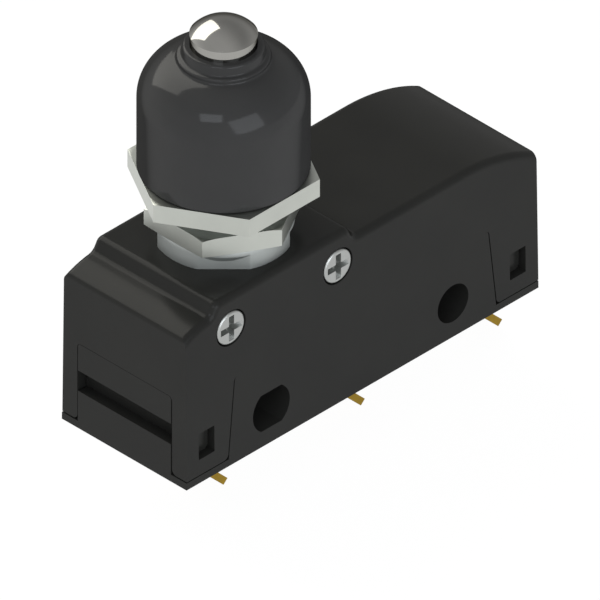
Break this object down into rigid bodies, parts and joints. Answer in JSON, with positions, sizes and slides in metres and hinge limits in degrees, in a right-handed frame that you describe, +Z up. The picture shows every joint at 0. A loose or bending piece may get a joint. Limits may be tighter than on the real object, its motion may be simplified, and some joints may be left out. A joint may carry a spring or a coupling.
{
  "type": "plunger micro switch",
  "caption": "Snap-acting micro switch: moulded case with cross fixing holes, threaded panel bushing, rubber-sealed spring plunger and bent blade terminals.",
  "frame": {"origin": "centre of the round fixing hole, in the middle of the case's width", "axes": "+X along the case to its bowed end, +Y through the fixing hole away from the screw heads, +Z up to the push button"},
  "size_m": [0.05, 0.0174, 0.0534],
  "materials": {
    "case_plastic": "moulded, fine satin",
    "bushing_metal": "turned and nickel plated",
    "nut_metal": "nickel plated, satin",
    "gaiter_rubber": "moulded, semi-matt",
    "button_steel": "turned and polished",
    "spring_steel": "drawn wire",
    "pin_plastic": "moulded",
    "terminal_brass": "stamped, slightly dull",
    "blade_copper": "rolled strip",
    "contact_silver": "pressed",
    "screw_steel": "zinc plated"
  },
  "bodies": {
    "case": {"base": "case_plastic", "cover": "case_plastic", "bushing": "bushing_metal", "lower_nut": "nut_metal", "panel_nut": "nut_metal", "gaiter": "gaiter_rubber", "return_spring": "spring_steel", "cross_screw_1": "screw_steel", "cross_screw_2": "screw_steel", "common_terminal": "terminal_brass", "open_terminal": "terminal_brass", "closed_terminal": "terminal_brass", "open_contact": "contact_silver", "closed_contact": "contact_silver", "snap_spring": "blade_copper"},
    "plunger": {"plunger": "button_steel", "retaining_clip": "spring_steel", "overtravel_spring": "spring_steel"},
    "pin": {"actuator_pin": "pin_plastic"},
    "blade": {"contact_blade": "blade_copper", "moving_contact": "contact_silver"}
  },
  "joints": [
    {"name": "plunger_slide", "type": "slide", "parent": "case", "child": "plunger", "axis": [0, 0, -1], "range_m": [0, 0.0045], "stiffness_N_per_m": 1000, "springref_m": -0.003, "deforming": ["gaiter", "return_spring", "overtravel_spring"]},
    {"name": "pin_slide", "type": "slide", "parent": "case", "child": "pin", "axis": [0, 0, -1], "range_m": [0, 0.000325]},
    {"name": "blade_pivot", "type": "hinge", "parent": "case", "child": "blade", "pos_m": [-0.03095, 0, 0.00732], "axis": [0, 1, 0], "range_deg": [0, 2.45], "deforming": ["snap_spring"]}
  ],
  "couplings": [
    {"joint": "pin_slide", "follows": "plunger_slide", "ratio": 0.071111},
    {"joint": "blade_pivot", "follows": "plunger_slide", "rad_per_m": 9.4187}
  ]
}
